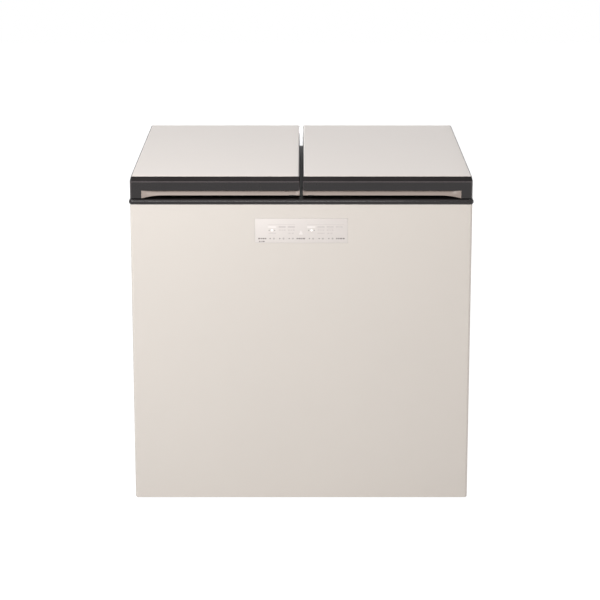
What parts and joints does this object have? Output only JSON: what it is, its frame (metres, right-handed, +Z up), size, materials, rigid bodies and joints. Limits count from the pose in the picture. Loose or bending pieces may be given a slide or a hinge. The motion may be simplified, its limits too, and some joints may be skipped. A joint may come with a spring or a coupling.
{
  "type": "kimchi refrigerator",
  "caption": "Chest-style kimchi refrigerator with separately cooled tanks under spring-assisted top lids, pale painted body and dark rim.",
  "frame": {"origin": "on the floor, under the middle of the whole part with its rear hinges", "axes": "+X to the right seen from the front, +Y to the back, +Z up; the front faces -Y"},
  "size_m": [0.927, 0.8144, 0.916],
  "materials": {
    "body_paint": "satin",
    "zinc_sheet": "satin",
    "lid_arm_steel": "satin",
    "foam": "matte",
    "tank_metal": "satin",
    "rim_plastic": "satin",
    "frame_plastic": "satin",
    "lid_skin": "gloss",
    "grip_plastic": "satin",
    "liner_plastic": "satin",
    "gasket_rubber": "matte",
    "black_rubber": "matte",
    "pin_steel": "brushed",
    "compressor_paint": "satin",
    "black_plastic": "matte",
    "motor_metal": "satin",
    "fin_metal": "satin",
    "copper_tube": "satin",
    "white_plastic": "matte",
    "circuit_board": "satin",
    "display_film": "satin"
  },
  "bodies": {
    "cabinet": {"front_panel": "body_paint", "side_panel_left": "body_paint", "side_panel_right": "body_paint", "back_panel": "zinc_sheet", "base_pan": "zinc_sheet", "machine_partition": "zinc_sheet", "machine_cover": "zinc_sheet", "insulation": "foam", "tank_left": "tank_metal", "tank_right": "tank_metal", "top_rim": "rim_plastic", "rim_bumpers": "black_rubber", "evaporators": "tank_metal", "compressor": "compressor_paint", "compressor_mounts": "black_rubber", "terminal_cover": "black_plastic", "condenser": "fin_metal", "fan_shroud": "black_plastic", "fan_motor": "motor_metal", "filter_drier": "copper_tube", "refrigerant_pipes": "copper_tube", "board_case": "white_plastic", "main_board": "circuit_board", "board_cover": "zinc_sheet", "display_plate": "display_film", "display_housing": "white_plastic", "display_board": "circuit_board", "wire_conduit": "white_plastic", "power_inlet": "black_plastic", "hinge_brackets": "zinc_sheet", "spring_cartridges": "black_plastic", "rear_screws": "pin_steel", "foot_sockets": "zinc_sheet", "caster_housings": "zinc_sheet", "caster_axles": "pin_steel"},
    "lid_left": {"lid_left_frame": "frame_plastic", "lid_left_panel": "lid_skin", "lid_left_grip": "grip_plastic", "lid_left_liner": "liner_plastic", "lid_left_foam": "foam", "lid_left_gasket": "gasket_rubber", "lid_left_hinge_arms": "lid_arm_steel", "lid_left_hinge_pins": "pin_steel"},
    "lid_right": {"lid_right_frame": "frame_plastic", "lid_right_panel": "lid_skin", "lid_right_grip": "grip_plastic", "lid_right_liner": "liner_plastic", "lid_right_foam": "foam", "lid_right_gasket": "gasket_rubber", "lid_right_hinge_arms": "lid_arm_steel", "lid_right_hinge_pins": "pin_steel"},
    "fan": {"fan_blades": "black_plastic", "fan_shaft": "pin_steel"},
    "foot_left": {"foot_left_pad": "black_plastic"},
    "foot_left_screw": {"foot_left_stem": "pin_steel"},
    "foot_right": {"foot_right_pad": "black_plastic"},
    "foot_right_screw": {"foot_right_stem": "pin_steel"},
    "wheel_left": {"wheel_left": "black_plastic"},
    "wheel_right": {"wheel_right": "black_plastic"}
  },
  "joints": [
    {"name": "lid_left_hinge", "type": "hinge", "parent": "cabinet", "child": "lid_left", "pos_m": [-0.23215, 0.39825, 0.875], "axis": [-1, 0, 0], "range_deg": [0, 80], "stiffness_Nm_per_rad": 5.5, "springref_deg": 108.86},
    {"name": "lid_right_hinge", "type": "hinge", "parent": "cabinet", "child": "lid_right", "pos_m": [0.23215, 0.39825, 0.875], "axis": [-1, 0, 0], "range_deg": [0, 80], "stiffness_Nm_per_rad": 5.5, "springref_deg": 108.86},
    {"name": "fan_spin", "type": "hinge", "parent": "cabinet", "child": "fan", "pos_m": [0.02, 0.25325, 0.1315], "axis": [1, 0, 0], "continuous": true},
    {"name": "foot_left_height", "type": "slide", "parent": "cabinet", "child": "foot_left", "axis": [0, 0, -1], "range_m": [0, 0.012]},
    {"name": "foot_left_turn", "type": "hinge", "parent": "foot_left", "child": "foot_left_screw", "pos_m": [-0.4, -0.34375, 0], "axis": [0, 0, -1], "range_deg": [0, 2880]},
    {"name": "foot_right_height", "type": "slide", "parent": "cabinet", "child": "foot_right", "axis": [0, 0, -1], "range_m": [0, 0.012]},
    {"name": "foot_right_turn", "type": "hinge", "parent": "foot_right", "child": "foot_right_screw", "pos_m": [0.4, -0.34375, 0], "axis": [0, 0, -1], "range_deg": [0, 2880]},
    {"name": "wheel_left_roll", "type": "hinge", "parent": "cabinet", "child": "wheel_left", "pos_m": [-0.39, 0.32425, 0.018], "axis": [1, 0, 0], "continuous": true},
    {"name": "wheel_right_roll", "type": "hinge", "parent": "cabinet", "child": "wheel_right", "pos_m": [0.39, 0.32425, 0.018], "axis": [1, 0, 0], "continuous": true}
  ],
  "couplings": [
    {"joint": "foot_left_turn", "follows": "foot_left_height", "rad_per_m": 4188.8},
    {"joint": "foot_right_turn", "follows": "foot_right_height", "rad_per_m": 4188.8}
  ]
}
